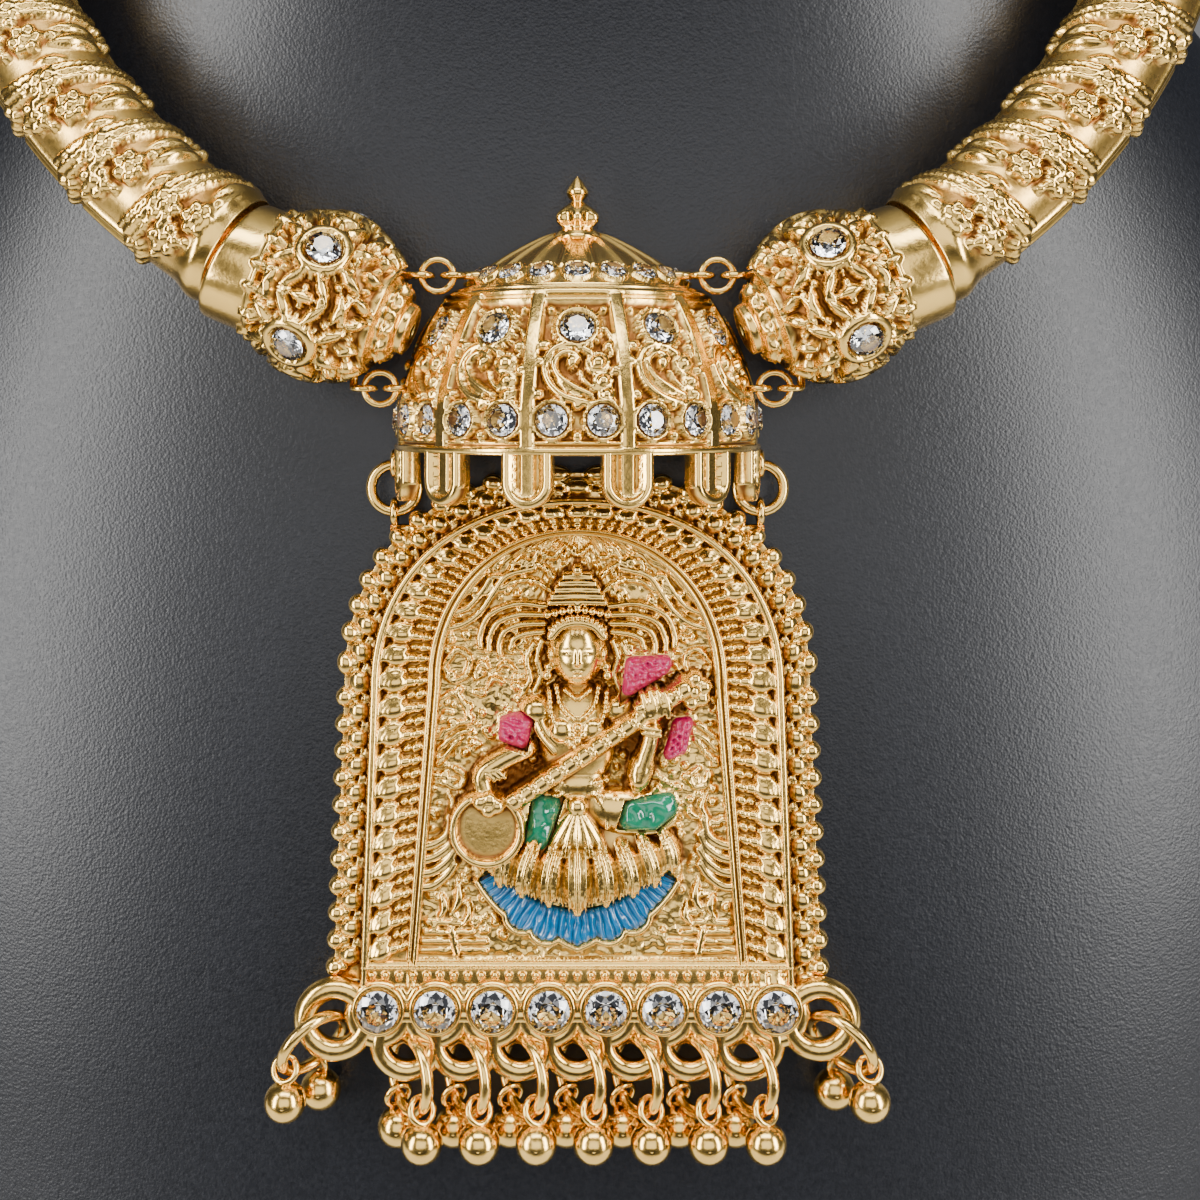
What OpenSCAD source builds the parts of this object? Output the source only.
// Temple necklace with an arched pendant, resting on a neck bust. Millimetres, Z up, front toward -Y.
// The pendant frame has x to the right, y up along the chest and z straight out of it.

/* [Bust] */
// Number of sides round each level of the bust
bust_sides = 64; // [48:4:72]
// Squareness of the bust levels, 2 is an ellipse
bust_power = 2.15; // [2.05:0.05:2.25]
// Lean of the chest back from upright
chest_lean = 30; // [29:0.5:31]
// Height of the plate base line above the table
plate_z = 92; // [91.5:0.25:92.5]

/* [Collar] */
// Radius of the centre line of the collar
collar_r = 53; // [52.5:0.25:53.5]
// Diameter of the collar tube
tube_d = 9.2; // [9:0.1:9.3]
// Diameter of the ball ends
ball_d = 13; // [12.8:0.1:13.1]
// Angle of each ball end from the front
ball_angle = 22.6; // [22.2:0.2:23]
// Angle where the arms stop at the back
back_angle = 166; // [160:1:168]
// Relief units on each arm
arm_units = 16; // [12:1:16]

/* [Dome] */
// Radius of the dome rim
dome_r = 14.7; // [14.5:0.1:14.8]
// Wall of the dome
dome_wall = 1.1; // [1:0.05:1.2]
// Height of the rim above the plate base line
rim_v = 44; // [43.9:0.1:44.2]
// Width of the ribs
rib_w = 1.2; // [1:0.1:1.4]
// Length of the lobes below the rim
lobe_l = 4.4; // [4:0.1:4.5]
// Width of the lobes below the rim
lobe_w = 4; // [3.8:0.1:4.1]

/* [Plate] */
// Half width of the plate outline at its base
plate_half = 20.85; // [20.6:0.05:20.9]
// Height of the arch top above the base line
plate_top = 42.5; // [42.3:0.1:42.6]
// Thickness of the backing sheet
sheet_t = 1.2; // [1:0.1:1.3]
// Pitch of the bead rows
bead_pitch = 2.25; // [2.2:0.05:2.4]
// Radius of the inner border beads
bead_r = 0.95; // [0.85:0.05:1]

/* [Stones] */
// Diameter of the stones of the base bar
bar_stone_d = 3.4; // [3.2:0.1:3.5]
// Pitch of the stones of the base bar
bar_pitch = 4.63; // [4.6:0.01:4.66]
// Diameter of the stones on the dome rim
rim_stone_d = 2.4; // [2.2:0.1:2.5]
// Diameter of the stones in the dome panels
panel_stone_d = 2.6; // [2.4:0.1:2.7]
// Diameter of the stones under the dome cap
cap_stone_d = 2; // [1.8:0.1:2.1]
// Diameter of the stones on the ball ends
ball_stone_d = 2.6; // [2.4:0.1:2.7]

/* [Rings and drops] */
// Centre line radius of the jump rings
ring_r = 2.9; // [2.85:0.05:2.95]
// Wire of the jump rings
ring_wire = 0.95; // [0.9:0.05:1]
// Diameter of the drop balls
drop_d = 3.4; // [3.2:0.1:3.4]
// Centre line radius of the drop eyes
eye_r = 1; // [0.98:0.01:1.02]
// Wire of the drop eyes
eye_wire = 0.55; // [0.5:0.05:0.55]

/* [Hidden] */
gap = 0.15;                    // between pieces that are not soldered
seat_gap = 0.12;               // round a stone in its seat
wall = 0.45;                   // bezel wall
tube_r = tube_d / 2;
ball_r = ball_d / 2;
plate_y = -57;                 // plate base line, front to back
sheet_w = 1;                   // back of the sheet above the chest
field_w = sheet_w + sheet_t;   // floor of the sunk field
zone_w = field_w + 1.1;        // top of the raised zone
collar_v = 52.3;               // front of the collar along the chest
collar_w = 7.3;                // and above it
collar_lean = 15;              // lean of the collar plane behind the plate
arm_angle = ball_angle + 9;    // start of each arm
unit_angle = 7.8;              // pitch of the relief along an arm
dome_w = 1.2;                  // open back of the dome above the chest
eps = 0.01;

gold = [0.83, 0.62, 0.27];
pale = [0.86, 0.9, 0.93];

// levels of the bust: height, half width, front, back
bust_levels = [[0, 84, -62, 48], [4, 87, -66, 52], [40, 93, -76, 56], [60, 96, -75, 57],
  [75, 98, -66.8, 58], [92, 98, -57, 58], [108, 95, -47.8, 57], [122, 88, -39.7, 54],
  [134, 79, -32.5, 50.5], [145, 69, -26, 46.5], [156, 59, -21.8, 42.5], [167, 50.5, -19.2, 38.5],
  [178, 44, -18, 35], [190, 41, -17.5, 32.5], [205, 39.5, -17.5, 31.2], [225, 39.5, -18, 31.2],
  [246, 40.5, -19, 32], [253, 39.5, -18, 31], [256, 36, -14.5, 28]];

// outer profile of the dome: height above the rim, radius
dome_profile = [[0, 14.7], [2, 14.7], [4, 14.5], [6.6, 13.7], [8.4, 13], [10, 12.2], [12.1, 10.8],
  [13.6, 8.9], [15.1, 6.9], [16.3, 4.9], [17.2, 3.1], [17.9, 1.2]];

// ring table: turn of the ring, its swing outward, angle of drop a, angle of drop b
ring_rows = [[-35, -40, 16, -64], [35, 0, 42, -42], [35, 0, 42, -42], [35, 0, 42, -42], [35, 0, 42, -42],
  [35, 0, 42, -42], [35, 0, 42, -42], [35, 0, 42, -42], [35, 40, 16, -64]];

function sgn(x) = x < 0 ? -1 : 1;
function bust_x(a, t) = a * sgn(cos(t)) * pow(abs(cos(t)), 2 / bust_power);
function bust_y(b, t) = b * sgn(sin(t)) * pow(abs(sin(t)), 2 / bust_power);
function dome_at(h) = lookup(h, dome_profile) - 14.7 + dome_r;
function dome_tilt(h) = atan2(dome_at(h - 0.3) - dome_at(h + 0.3), 0.6);
// half width of a round-topped arch at a height: base half, waist half, waist height, top, power
function arch_half(y, base, waist, waist_y, top, p) = y <= waist_y
  ? base + (waist - base) * max(y, 0) / waist_y
  : waist * pow(max(0, 1 - pow((y - waist_y) / (top - waist_y), p)), 1 / p);
function arch_side(base, waist, waist_y, top, p, n) =
  [for (i = [0:n]) let (y = i < n / 3 ? waist_y * i / (n / 3)
      : waist_y + (top - waist_y) * sin(90 * (i - n / 3) / (n - n / 3)))
    [arch_half(y, base, waist, waist_y, top, p), y]];
function mirrored(side) = concat(side, [for (i = [len(side) - 2:-1:0]) [-side[i][0], side[i][1]]]);
function outline(d) = mirrored(arch_side(plate_half - d, 20 - d, 24, plate_top - d, 2.3, 24));
function arch2(d) = mirrored(arch_side(17.65 - d, 16.9 - d, 24, 39.6 - d, 2.2, 24));
function field(d) = [for (p = mirrored(arch_side(13.6 - d, 11.8 - d, 23.25, 35.75 - 2 * d, 2.1, 24)))
  [p[0], p[1] + 1.25 + d]];

module on_plate() translate([0, plate_y, plate_z]) rotate([90 - chest_lean, 0, 0]) children();

module on_collar() on_plate() translate([0, collar_v, collar_w]) rotate([-collar_lean, 0, 0]) children();

// a station on the collar centre line: x along it away from the front, -y outward, z up
module station(side, a) translate([0, collar_r, 0]) rotate([0, 0, side * a])
  translate([0, -collar_r, 0]) children();

module on_tube(side, a, turn) station(side, a) rotate([90 - turn, 0, 0])
  translate([0, 0, tube_r]) children();

module on_dome(th, h) on_plate()
  translate([dome_at(h) * sin(th), rim_v + h, dome_w + dome_at(h) * cos(th)])
  rotate([0, th, 0]) rotate([-dome_tilt(h), 0, 0]) children();

module wire_ring(r, wire) rotate_extrude($fn = 48) translate([r, 0]) circle(d = wire, $fn = 24);

module ball(r) sphere(r = r, $fn = 48);

// a pointed grain lying along x
module grain(l, r) rotate([0, 90, 0]) rotate_extrude($fn = 24)
  polygon([[0, -l / 2], [r * 0.72, -l / 4], [r, 0], [r * 0.72, l / 4], [0, l / 2]]);

// a cut stone, girdle at z = 0, eight-sided table, sixteen-sided girdle
module stone(d) {
  top = [for (i = [0:7]) [0.3 * d * cos(45 * i), 0.3 * d * sin(45 * i), 0.15 * d]];
  rim = [for (i = [0:15]) [0.5 * d * cos(22.5 * i), 0.5 * d * sin(22.5 * i), 0]];
  faces = concat([[7, 6, 5, 4, 3, 2, 1, 0]],
    [for (i = [0:7]) [i, (i + 1) % 8, 8 + 2 * i + 1]],
    [for (i = [0:7]) [i, 8 + 2 * i + 1, 8 + 2 * i]],
    [for (i = [0:7]) [(i + 1) % 8, 8 + (2 * i + 2) % 16, 8 + 2 * i + 1]],
    [for (i = [0:15]) [8 + i, 8 + (i + 1) % 16, 24]]);
  polyhedron(concat(top, rim, [[0, 0, -0.32 * d]]), faces);
}

// bezel with its girdle height lift above the surface; the seat is cut by seat()
module bezel(d, lift, depth, rim = wall) translate([0, 0, -depth])
  cylinder(h = depth + lift + 0.12, r = d / 2 + seat_gap + rim, $fn = 32);

module seat(d, lift) translate([0, 0, lift - 0.32 * d - 0.12])
  cylinder(h = 0.32 * d + 2, r = d / 2 + seat_gap, $fn = 32);

module bust() {
  n = bust_sides;
  m = len(bust_levels);
  points = [for (row = bust_levels) for (i = [0:n - 1])
    let (t = 360 * i / n, mid = (row[2] + row[3]) / 2, b = (row[3] - row[2]) / 2)
    [bust_x(row[1], t), mid + bust_y(b, t), row[0]]];
  sides = [for (k = [0:m - 2]) for (i = [0:n - 1])
    [k * n + i, (k + 1) * n + i, (k + 1) * n + (i + 1) % n, k * n + (i + 1) % n]];
  color([0.1, 0.1, 0.12]) polyhedron(concat(points), concat(
    [for (f = sides) [f[0], f[1], f[2]]], [for (f = sides) [f[0], f[2], f[3]]],
    [[for (i = [0:n - 1]) i]], [[for (i = [n - 1:-1:0]) (m - 1) * n + i]]));
}

// tube with two half-round rails along its outer side, in one profile
module arm_profile() {
  circle(r = tube_r, $fn = 64);
  for (turn = [-12, 14]) translate([tube_r * cos(turn), tube_r * sin(turn)]) circle(r = 0.62, $fn = 24);
}

// one unit of the arm relief: two rosettes, a slanting row of granules and a leaf
module arm_unit(side, a) {
  for (row = [[0, 58, 1.5], [1.7, 88, 1.45]])
    on_tube(side, a + row[0], row[1]) translate([0, 0, -0.75]) ball(row[2]);
  for (k = [0:3]) on_tube(side, a + 3.4 + 0.55 * k, 44 + 27 * k) ball(0.62);
  on_tube(side, a + 2.6, 122) rotate([0, 0, side * 35]) grain(3.4, 0.9);
}

module arm(side) color(gold) on_collar() union() {
  translate([0, collar_r, 0]) rotate([0, 0, side > 0 ? arm_angle - 90 : -90 - back_angle])
    rotate_extrude(angle = back_angle - arm_angle, $fn = 96) translate([collar_r, 0]) arm_profile();
  for (i = [0:arm_units - 1]) arm_unit(side, arm_angle + 3.4 + unit_angle * i);
}

module collar_left() arm(-1);
module collar_right() arm(1);

module back_clasp() color(gold) on_collar() translate([0, collar_r, 0])
  rotate([0, 0, 90 - (180 - back_angle) + gap / collar_r * 57.3])
  rotate_extrude(angle = 2 * (180 - back_angle - gap / collar_r * 57.3), $fn = 96)
  translate([collar_r, 0]) circle(r = tube_r + 0.5, $fn = 64);

ball_stone_turns = [20, 92, 164, 236, 308];

// the ball stands on its station with z along the collar toward the dome
module on_ball(side) on_collar() station(side, ball_angle) rotate([0, -side * 90, 0]) children();

module round_ball(turn, tip) rotate([0, 0, turn]) rotate([0, tip, 0]) translate([0, 0, ball_r]) children();

module end_ball(side) color(gold) difference() {
  union() {
    on_ball(side) {
      ball(ball_r);
      translate([0, 0, -7.4]) cylinder(h = 3, d = 10.4, $fn = 48);
      translate([0, 0, 4]) cylinder(h = 3, d = 6.2, $fn = 48);
      translate([0, 0, 6]) cylinder(h = 1.7, d = 4.2, $fn = 32);
      for (turn = [22.5:45:360]) round_ball(turn, 46) grain(3.6, 0.85);
      for (turn = [0:45:359]) round_ball(turn, 131) grain(3.6, 0.85);
      for (turn = ball_stone_turns) {
        round_ball(turn + 36, 76) rotate([0, 0, 90]) grain(3.2, 0.8);
        round_ball(turn + 36, 106) rotate([0, 0, 90]) grain(3.2, 0.8);
        round_ball(turn + 36, 91) ball(0.7);
      }
      for (turn = ball_stone_turns) round_ball(turn, 90) bezel(ball_stone_d, 0.45, 1.6);
    }
    for (row = link_rows) on_plate() link_eye(side, row, 1, row[2], row[3]);
  }
  on_ball(side) for (turn = ball_stone_turns) round_ball(turn, 90) seat(ball_stone_d, 0.45);
}

module ball_left() end_ball(-1);
module ball_right() end_ball(1);

module ball_stones(side) color(pale) on_ball(side)
  for (turn = ball_stone_turns) round_ball(turn, 90) translate([0, 0, 0.45]) stone(ball_stone_d);

module ball_stones_left() ball_stones(-1);
module ball_stones_right() ball_stones(1);

// links between the ball ends and the dome: height, distance out, turn and length of the ball lug,
// length of the dome lug
link_rows = [[58, 11.4, 0, 1.6, 2.3], [48.8, 16.05, 90, 2.2, 0.9]];
link_w = 5.2;
link_r = 1.3;
link_wire = 0.55;
link_eye_r = 0.85;

// an eye with its lug; out is +1 on the ball end and -1 on the dome, where the lug runs inward
module link_eye(side, row, out, turn, lug)
  translate([side * (row[1] + out * link_r), row[0], link_w]) {
    rotate([90, 0, 0]) wire_ring(link_eye_r, link_wire);
    translate([side * out * link_eye_r, 0, 0]) rotate([0, 0, side > 0 ? turn : 180 - turn])
      rotate([0, 90, 0]) cylinder(h = lug, d = 0.7, $fn = 24);
  }

module link(side, row) color(gold) on_plate() translate([side * row[1], row[0], link_w])
  wire_ring(link_r, link_wire);

module link_left_upper() link(-1, link_rows[0]);
module link_left_lower() link(-1, link_rows[1]);
module link_right_upper() link(1, link_rows[0]);
module link_right_lower() link(1, link_rows[1]);

rib_angles = [-75, -45, -15, 15, 45, 75];
rim_stone_angles = [for (i = [0:11]) -82.5 + 15 * i];
panel_angles = [-60, -30, 0, 30, 60];
cap_angles = [for (i = [0:8]) -76 + 19 * i];
rim_stone_h = 2.3;
panel_stone_h = 9.3;
cap_stone_h = 13.9;
stone_lift = 0.35;
side_ring_v = 40.55;
side_ring_u = 15.2;
side_ring_w = 1.9;
side_ring_r = 1.95;

// half turn of a profile about the dome axis, toward the front
module half_turn() on_plate() translate([0, rim_v, dome_w]) rotate([-90, 0, 0])
  rotate([0, 0, 180]) rotate_extrude(angle = 180, $fn = 96) children();

module dome_section(grow, inset) polygon(concat([for (p = dome_profile) [dome_at(p[0]) + grow, p[0]]],
  [[0, 17.9 + grow], [0, 17.9 - inset]],
  [for (i = [len(dome_profile) - 1:-1:0]) [max(0.2, dome_at(dome_profile[i][0]) - inset),
    min(dome_profile[i][0], 17.9 - inset)]]));

module lobe_shape(grow) {
  translate([0, -lobe_l + lobe_w / 2 - grow]) circle(r = lobe_w / 2 + grow, $fn = 48);
  translate([-lobe_w / 2 - grow, -lobe_l + lobe_w / 2 - grow]) square([lobe_w + 2 * grow, lobe_l]);
}

// cuts a lobe outline through the wall, straight out from the axis
module lobe_prism(th, grow) on_plate() translate([0, rim_v, dome_w]) rotate([0, th, 0])
  translate([0, 0, dome_r - 3]) linear_extrude(5) lobe_shape(grow);

module lobes() {
  intersection() {
    half_turn() polygon([[dome_r - 1, -5], [dome_r, -5], [dome_r, 0.2], [dome_r - 1, 0.2]]);
    union() for (th = rib_angles) lobe_prism(th, 0);
  }
  intersection() {
    half_turn() polygon([[dome_r - 0.4, -5], [dome_r + 0.5, -5], [dome_r + 0.5, 0], [dome_r - 0.4, 0]]);
    difference() {
      union() for (th = rib_angles) lobe_prism(th, 0);
      for (th = rib_angles) lobe_prism(th, -0.75);
    }
  }
}

// a curl with a pierced eye, and the granules beside it
module paisley() {
  translate([0, 0, -0.7]) linear_extrude(1.05) difference() {
    union() {
      circle(r = 1.5, $fn = 32);
      polygon([[-1.5, 0], [-1.1, -1.6], [0.9, -3.1], [1.3, -2.9], [0.9, -1.2]]);
    }
    circle(r = 0.75, $fn = 32);
  }
  for (p = [[1.75, 1.1, 0.55], [1.95, -0.2, 0.5], [1.85, -1.4, 0.5]]) translate([p[0], p[1], 0]) ball(p[2]);
}

module dome() color(gold) difference() {
  union() {
    half_turn() dome_section(0, dome_wall);
    lobes();
    half_turn() for (row = [[0, 15.1, 0.4], [12.1, 11.2, 0.3], [12.9, 10.2, 0.25]])
      translate([row[1] - 1.4, row[0] - row[2]]) square([1.4, 2 * row[2]]);
    for (th = rib_angles) on_plate() translate([0, rim_v, dome_w]) rotate([0, th - 90, 0])
      translate([0, 0, -rib_w / 2]) linear_extrude(rib_w) intersection() {
        dome_section(0.45, 0.6);
        square([20, 12.1]);
      }
    for (th = rim_stone_angles) on_dome(th, rim_stone_h) bezel(rim_stone_d, stone_lift, 0.9);
    for (th = panel_angles) on_dome(th, panel_stone_h) bezel(panel_stone_d, stone_lift, 0.9);
    for (th = cap_angles) on_dome(th, cap_stone_h) bezel(cap_stone_d, stone_lift, 0.8, 0.24);
    for (th = panel_angles) on_dome(th, 5.9) paisley();
    on_plate() translate([0, rim_v + 17.2, dome_w + 1.9]) rotate([-90, 0, 0]) finial();
    for (side = [-1, 1]) {
      for (row = link_rows) on_plate() link_eye(side, row, -1, 180, row[4]);
      on_plate() translate([side * side_ring_u, side_ring_v + side_ring_r + 0.05, side_ring_w])
        rotate([0, 90, 0]) wire_ring(0.95, 0.6);
    }
  }
  for (th = rim_stone_angles) on_dome(th, rim_stone_h) seat(rim_stone_d, stone_lift);
  for (th = panel_angles) on_dome(th, panel_stone_h) seat(panel_stone_d, stone_lift);
  for (th = cap_angles) on_dome(th, cap_stone_h) seat(cap_stone_d, stone_lift);
}

// bud of the crest: a lower fluted bud with a smaller bud and a tip above it
module finial() {
  rotate_extrude($fn = 32) polygon([[0, -0.6], [1.9, -0.2], [1.5, 0.5], [1.15, 0.8], [1.1, 2.2], [0.6, 2.9],
    [0.55, 3.1], [0.9, 3.7], [0.8, 4.3], [0.35, 4.9], [0, 5.1]]);
  for (a = [30:60:359]) rotate([0, 0, a]) translate([0.75, 0, 1.5]) ball(0.8);
}

module dome_rim_stones() color(pale) for (th = rim_stone_angles) on_dome(th, rim_stone_h)
  translate([0, 0, stone_lift]) stone(rim_stone_d);
module dome_panel_stones() color(pale) for (th = panel_angles) on_dome(th, panel_stone_h)
  translate([0, 0, stone_lift]) stone(panel_stone_d);
module dome_cap_stones() color(pale) for (th = cap_angles) on_dome(th, cap_stone_h)
  translate([0, 0, stone_lift]) stone(cap_stone_d);

module side_ring(side) color(gold) on_plate()
  translate([side * side_ring_u, side_ring_v, side_ring_w]) wire_ring(side_ring_r, 0.9);
module side_ring_left() side_ring(-1);
module side_ring_right() side_ring(1);

function bar_x(i) = (i - 4.5) * bar_pitch;
bar_y = -1.75;
bar_w = 3.2;                   // middle of the pierced bar above the chest
bar_lift = 4.7;
hole_y = -4.7;
loop_x = 19.8;
loop_y = -2.8;

module plate_beads() {
  rows = floor(24 / bead_pitch);
  for (side = [-1, 1]) for (i = [0:rows]) let (y = 1 + bead_pitch * i) {
    translate([side * (arch_half(y, 17.65, 16.9, 24, 39.6, 2.2) + 1), y, field_w]) ball(bead_r);
    translate([side * (arch_half(y, 19.9, 19.1, 24, 41.6, 2.3) + 0.05), y + 1.1, sheet_w + 0.8])
      ball(0.75);
  }
  for (i = [0:13]) let (t = -84.5 + 13 * i) {
    translate([18 * sin(t), 24.6 + 15.9 * cos(t), field_w]) ball(bead_r);
    translate([19.5 * sin(t + 5), 24.6 + 17.4 * cos(t + 5), sheet_w + 0.8]) ball(0.75);
  }
}

// rows of grains between the two arches
module zone_grains() {
  rows = floor(23 / bead_pitch);
  for (side = [-1, 1]) for (i = [0:rows]) let (y = 1.6 + bead_pitch * i,
      near = arch_half(y, 13.6, 11.8, 24.5, 37, 2.1), far = arch_half(y, 17.65, 16.9, 24, 39.6, 2.2))
    translate([side * (near + far) / 2, y, zone_w]) grain(far - near - 0.9, 0.95);
  for (i = [0:11]) let (t = -77 + 14 * i)
    translate([14.6 * sin(t), 24.8 + 13.2 * cos(t), zone_w - 0.1]) rotate([0, 0, 90 - t]) grain(2.6, 0.95);
}

module arch_rail(points_out, points_in, top) translate([0, 0, zone_w - 0.2])
  linear_extrude(top - zone_w + 0.2) difference() {
    polygon(points_out);
    polygon(points_in);
  }

module bar_layer(w0, w1, grow) translate([0, 0, w0]) linear_extrude(w1 - w0) difference() {
  union() {
    for (i = [1:7]) translate([bar_pitch * (i - 4), hole_y]) circle(r = bar_pitch / 2 + 0.95 + grow, $fn = 48);
    for (side = [-1, 1]) translate([side * loop_x, loop_y]) circle(r = 3.45 + grow, $fn = 48);
    for (i = [1:8]) translate([bar_x(i), bar_y]) circle(r = bar_stone_d / 2 + 0.6 + grow, $fn = 32);
    translate([-17.5, bar_y]) square([35, 2.6]);
  }
  for (i = [1:7]) translate([bar_pitch * (i - 4), hole_y]) circle(r = bar_pitch / 2 - 0.95 - grow, $fn = 32);
  for (side = [-1, 1]) translate([side * loop_x, loop_y]) circle(r = 1.55 - grow, $fn = 32);
}

module pendant_plate() color(gold) on_plate() difference() {
  union() {
    translate([0, 0, sheet_w]) linear_extrude(sheet_t) polygon(outline(0.9));
    difference() {
      translate([0, 0, field_w - eps]) linear_extrude(zone_w - field_w + eps) polygon(arch2(0));
      translate([0, 0, field_w]) linear_extrude(3) polygon(field(0.7));
    }
    arch_rail(arch2(0), arch2(0.55), zone_w + 0.7);
    difference() {
      translate([0, 0, zone_w - 0.2]) linear_extrude(1) polygon(field(-0.5));
      translate([0, 0, zone_w - 0.3]) linear_extrude(3) polygon(field(0.1));
    }
    plate_beads();
    zone_grains();
    bar_layer(bar_w - 0.9, bar_w - 0.5, -0.25);
    bar_layer(bar_w - 0.5, bar_w + 0.5, 0);
    bar_layer(bar_w + 0.5, bar_w + 0.9, -0.25);
    translate([-17.5, -0.3, sheet_w]) cube([35, 1.2, bar_w + 0.9 - sheet_w]);
    for (i = [1:8]) translate([bar_x(i), bar_y, bar_w - 0.9])
      cylinder(h = bar_lift + 1.02 - bar_w, r = bar_stone_d / 2 + seat_gap + wall, $fn = 32);
    for (side = [-1, 1]) {
      translate([side * side_ring_u, side_ring_v - side_ring_r - 0.05, side_ring_w])
        rotate([0, 90, 0]) wire_ring(0.95, 0.6);
      translate([side * (side_ring_u - 0.9), 37.1, side_ring_w - 0.1]) rotate([0, 90, 0])
        cylinder(h = 2.4, d = 0.9, center = true, $fn = 24);
    }
  }
  for (i = [1:8]) translate([bar_x(i), bar_y, bar_lift]) seat(bar_stone_d, 0);
}

module bar_stone(i) color(pale) on_plate() translate([bar_x(i), bar_y, bar_lift]) stone(bar_stone_d);
module bar_stone_1() bar_stone(1);
module bar_stone_2() bar_stone(2);
module bar_stone_3() bar_stone(3);
module bar_stone_4() bar_stone(4);
module bar_stone_5() bar_stone(5);
module bar_stone_6() bar_stone(6);
module bar_stone_7() bar_stone(7);
module bar_stone_8() bar_stone(8);

// a round bar between two points of the panel at one height above the chest
module rod(p, q, w, r1, r2) let (d = q - p) translate([p[0], p[1], w])
  rotate([0, 0, atan2(d[1], d[0])]) rotate([0, 90, 0]) cylinder(h = norm(d), r1 = r1, r2 = r2, $fn = 32);

panel_w = field_w + gap;       // back of the figure panel
floor_w = panel_w + 0.5;       // its floor
pad_w = floor_w + 1.1;         // top of the enamel pads

// outlines of the enamelled patches on the panel
pink_patches = [[[3.6, 23.2], [7.6, 25.6], [7.8, 26.9], [4, 26.7]],
  [[-6.5, 20], [-4.2, 19.2], [-3.6, 21.6], [-4.8, 22.3], [-6.4, 21.8]],
  [[6.9, 18.2], [8.9, 18.9], [9.6, 21.9], [7.9, 21.7]]];
green_patches = [[[-4.4, 11], [-2.6, 11], [-1.2, 15.2], [-3.6, 15.5]],
  [[3.3, 12.8], [6.4, 12.6], [8.3, 14.2], [7.9, 15.7], [4, 15]]];

// moves each corner of a patch away from its middle
function grown(poly, d) = let (c = [for (k = [0, 1]) [for (p = poly) p[k]] * [for (p = poly) 1] / len(poly)])
  [for (p = poly) p + d * (p - c) / norm(p - c)];

module figure_body() {
  translate([0, 24.6, 0]) rotate([-90, 0, 0]) translate([0, -floor_w - 1.2, 0]) {
    translate([0, 0, 2.4]) ball(2.3);
    translate([0, 0, 1.1]) ball(1.5);
    rotate_extrude($fn = 48) polygon([[0, 3], [2.75, 3.4], [2.75, 4.2], [2.3, 4.4], [2.3, 5.4], [1.85, 5.6],
      [1.85, 6.5], [1.3, 6.7], [1.3, 7.5], [0.5, 8.8], [0, 8.9]]);
    translate([0, 0, -1.4]) cylinder(h = 2, r = 1.05, $fn = 32);
    translate([0, 0, -8.8]) cylinder(h = 7.6, r1 = 2.2, r2 = 3.1, $fn = 32);
  }
  for (side = [-1, 1]) translate([side * 3.6, 22.9, floor_w + 0.9]) ball(1.4);
  rod([-3.8, 23], [-5.9, 18.6], floor_w + 0.9, 1.2, 1);
  rod([-5.9, 18.6], [-7.2, 15.6], floor_w + 2, 1, 0.75);
  translate([-7.2, 15, floor_w + 2.6]) ball(1.45);
  rod([4, 22.8], [5.2, 17.4], floor_w + 0.7, 1.2, 1);
  rod([5.3, 17], [6.1, 22.6], floor_w + 2.2, 1.35, 0.75);
  translate([6.2, 23.1, floor_w + 2.8]) ball(1.05);
  translate([0, 14.7, floor_w + 0.7]) ball(0.85);
}

module veena() {
  rod([-5.4, 15.1], [8.6, 24.2], floor_w + 2.2, 0.95, 0.7);
  for (k = [0:8]) translate([-4.3 + 1.15 * k, 15.85 + 0.75 * k, floor_w + 2.9]) ball(0.5);
  translate([-7.4, 12.5, floor_w - 0.2]) difference() {
    cylinder(h = 2.4, r = 3.05, $fn = 48);
    translate([0, 0, 1.7]) cylinder(h = 2, r = 2.45, $fn = 48);
  }
  for (k = [0:4]) translate([9.1 + 0.95 * cos(72 * k), 24.2 + 0.95 * sin(72 * k), floor_w + 1.5]) ball(0.72);
}

module lotus() {
  for (k = [-5:5]) let (a = 14 * k)
    translate([9.4 * sin(a * 0.8), 14.2 - 6 * cos(a * 0.9), floor_w + 0.8 - 0.06 * abs(k)])
    rotate([0, 0, 90 + 0.8 * a]) grain(5.2, 0.92);
  for (k = [-4:4]) let (a = 13 * k)
    translate([10.7 * sin(a), 13.1 - 10.45 * cos(a), floor_w + 0.2]) ball(0.45);
}

module scrolls() for (side = [-1, 1]) {
  for (row = [[5.4, 29, 1.3, 10, 235], [5.4, 29, 2.3, 0, 200], [8.6, 29.6, 1, 30, 230], [4.2, 32.6, 1, 60, 220]])
    translate([side * row[0], row[1], floor_w]) rotate([0, 0, side > 0 ? row[3] : 180 - row[3] - row[4]])
    rotate_extrude(angle = row[4], $fn = 48) translate([row[2], 0]) circle(r = 0.36, $fn = 16);
  for (k = [0:5]) translate([side * (10.9 - 0.1 * k), 4.4 + 2.3 * k, floor_w])
    rotate([0, 0, side * (62 - 4 * k)]) grain(2.8, 0.5);
}

module figure_panel() color(gold) on_plate() difference() {
  union() {
    translate([0, 0, panel_w]) linear_extrude(floor_w - panel_w)
      polygon(field(0.9));
    figure_body();
    veena();
    lotus();
    scrolls();
    for (patch = concat(pink_patches, green_patches)) translate([0, 0, floor_w - 0.1])
      linear_extrude(pad_w - floor_w + 0.1) polygon(grown(patch, 0.6));
  }
  translate([0, 0, pad_w - 0.5]) linear_extrude(6)
    for (patch = concat(pink_patches, green_patches)) polygon(grown(patch, 0.3));
  blue_band(0.15, floor_w - 0.2, 4);
  translate([-20, -5, panel_w - 5]) cube([40, 50, 5]);
}

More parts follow.
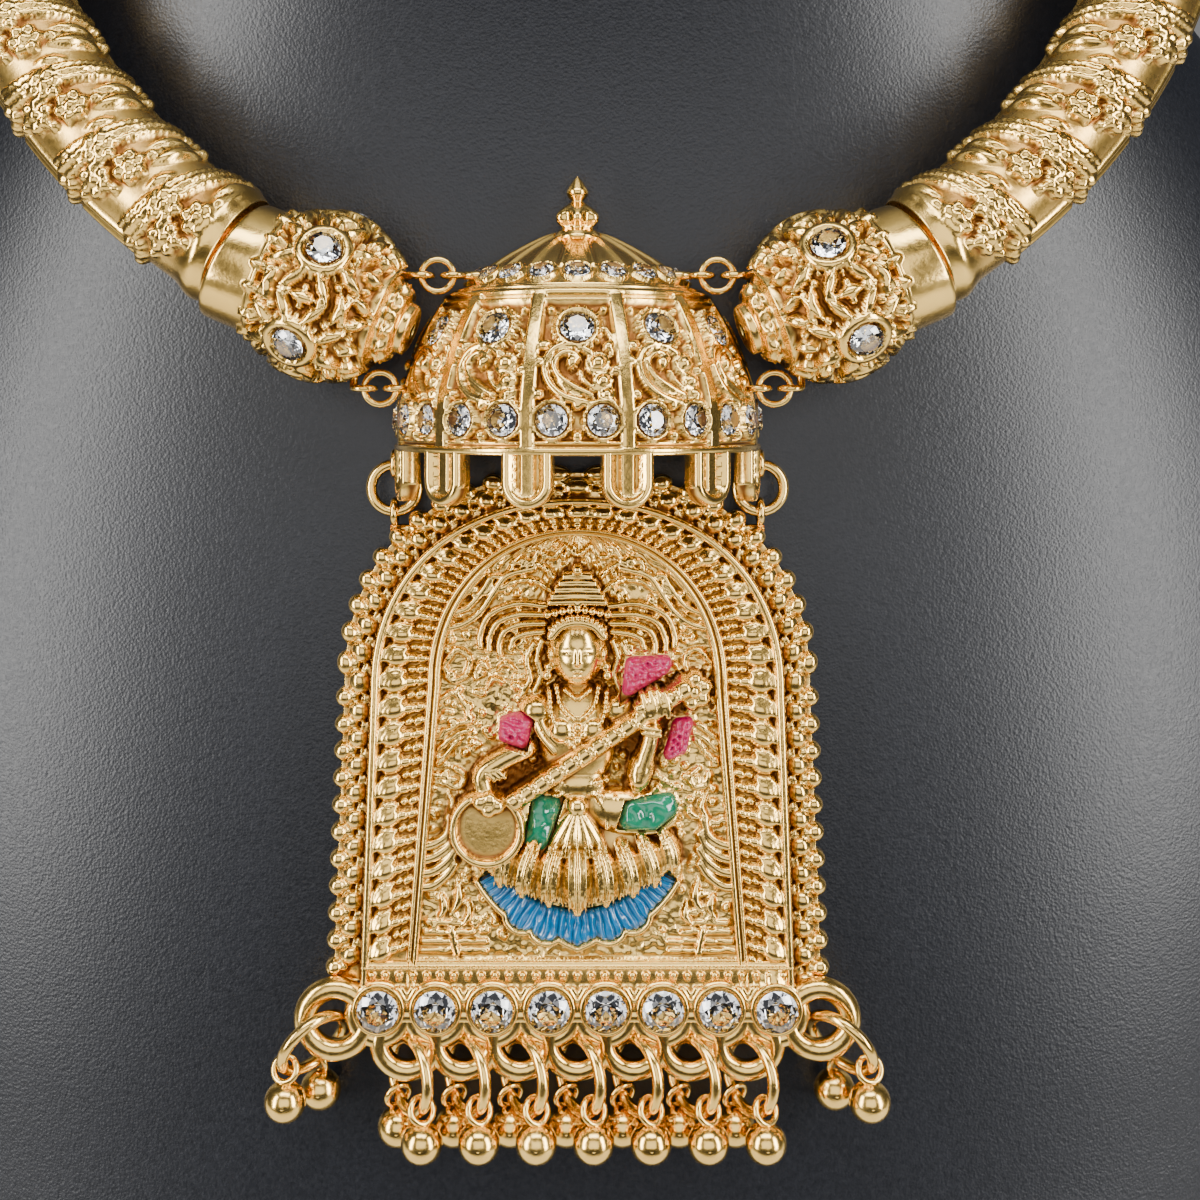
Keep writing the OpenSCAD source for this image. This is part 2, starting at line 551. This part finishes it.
// curved band below the petals
module blue_band(grow, w0, w1) translate([0, 13.1, w0]) rotate([0, 0, -149 - 8 * grow])
  rotate_extrude(angle = 118 + 16 * grow, $fn = 96)
  translate([8.7 - grow, 0]) square([1.3 + 2 * grow, w1]);

module patches(rows) color([0.8, 0.2, 0.5]) on_plate() translate([0, 0, pad_w - 0.5 + gap])
  linear_extrude(0.7) for (patch = rows) polygon(patch);

module enamel_pink() patches(pink_patches);
module enamel_green() patches(green_patches);
module enamel_blue() color([0.1, 0.6, 0.8]) on_plate() blue_band(0, floor_w - 0.2 + gap, 1.1);

// middle of the hole a ring hangs in: side loops at the ends, holes of the bar between
function hole(i) = i == 0 || i == 8 ? [(i - 4) / 4 * loop_x, loop_y] : [bar_pitch * (i - 4), hole_y];

// a jump ring hangs through its hole, swung about the hole and turned about its own length
module on_ring(i) let (row = ring_rows[i], h = hole(i)) on_plate()
  translate([h[0], h[1], bar_w + 0.25]) rotate([0, 0, row[1]])
  translate([0.2 * sgn(row[0]), 0.3 - ring_r, 0]) rotate([0, row[0] - 90, 0]) children();

module jump_ring(i) color(gold) on_ring(i) wire_ring(ring_r, ring_wire);
module jump_ring_1() jump_ring(0);
module jump_ring_2() jump_ring(1);
module jump_ring_3() jump_ring(2);
module jump_ring_4() jump_ring(3);
module jump_ring_5() jump_ring(4);
module jump_ring_6() jump_ring(5);
module jump_ring_7() jump_ring(6);
module jump_ring_8() jump_ring(7);
module jump_ring_9() jump_ring(8);

// a point of a ring and the run of its wire there, in the pendant frame; a is from the lowest point
function swung(v, s) = [v[0] * cos(s) - v[1] * sin(s), v[0] * sin(s) + v[1] * cos(s), v[2]];
function ring_point(i, a) = let (row = ring_rows[i], h = hole(i),
    p = [0.2 * sgn(row[0]) + ring_r * sin(a) * sin(row[0]), 0.3 - ring_r - ring_r * cos(a),
      ring_r * sin(a) * cos(row[0])])
  [h[0], h[1], bar_w + 0.25] + swung(p, row[1]);
function ring_run(i, a) = let (row = ring_rows[i])
  swung([cos(a) * sin(row[0]), sin(a), cos(a) * cos(row[0])], row[1]);

// a ball hangs under its eye, the eye is threaded on the ring and leans half way to the wire
module drop(i, which) color(gold) let (a = ring_rows[i][2 + which], p = ring_point(i, a),
    t = ring_run(i, a), m = [t[0], t[1] / 2, t[2]] / norm([t[0], t[1] / 2, t[2]]))
  on_plate() translate(p) {
    translate([0, -0.04, 0]) rotate([0, acos(m[2]), atan2(m[1], m[0])]) wire_ring(eye_r, eye_wire);
    translate([0, 0.05 - eye_r - drop_d / 2, 0]) ball(drop_d / 2);
  }
module drop_1a() drop(0, 0);
module drop_1b() drop(0, 1);
module drop_2a() drop(1, 0);
module drop_2b() drop(1, 1);
module drop_3a() drop(2, 0);
module drop_3b() drop(2, 1);
module drop_4a() drop(3, 0);
module drop_4b() drop(3, 1);
module drop_5a() drop(4, 0);
module drop_5b() drop(4, 1);
module drop_6a() drop(5, 0);
module drop_6b() drop(5, 1);
module drop_7a() drop(6, 0);
module drop_7b() drop(6, 1);
module drop_8a() drop(7, 0);
module drop_8b() drop(7, 1);
module drop_9a() drop(8, 0);
module drop_9b() drop(8, 1);

bust();
collar_left();
collar_right();
back_clasp();
ball_left();
ball_right();
ball_stones_left();
ball_stones_right();
link_left_upper();
link_left_lower();
link_right_upper();
link_right_lower();
dome();
dome_rim_stones();
dome_panel_stones();
dome_cap_stones();
side_ring_left();
side_ring_right();
pendant_plate();
figure_panel();
enamel_pink();
enamel_green();
enamel_blue();
bar_stone_1();
bar_stone_2();
bar_stone_3();
bar_stone_4();
bar_stone_5();
bar_stone_6();
bar_stone_7();
bar_stone_8();
jump_ring_1();
jump_ring_2();
jump_ring_3();
jump_ring_4();
jump_ring_5();
jump_ring_6();
jump_ring_7();
jump_ring_8();
jump_ring_9();
drop_1a();
drop_1b();
drop_2a();
drop_2b();
drop_3a();
drop_3b();
drop_4a();
drop_4b();
drop_5a();
drop_5b();
drop_6a();
drop_6b();
drop_7a();
drop_7b();
drop_8a();
drop_8b();
drop_9a();
drop_9b();
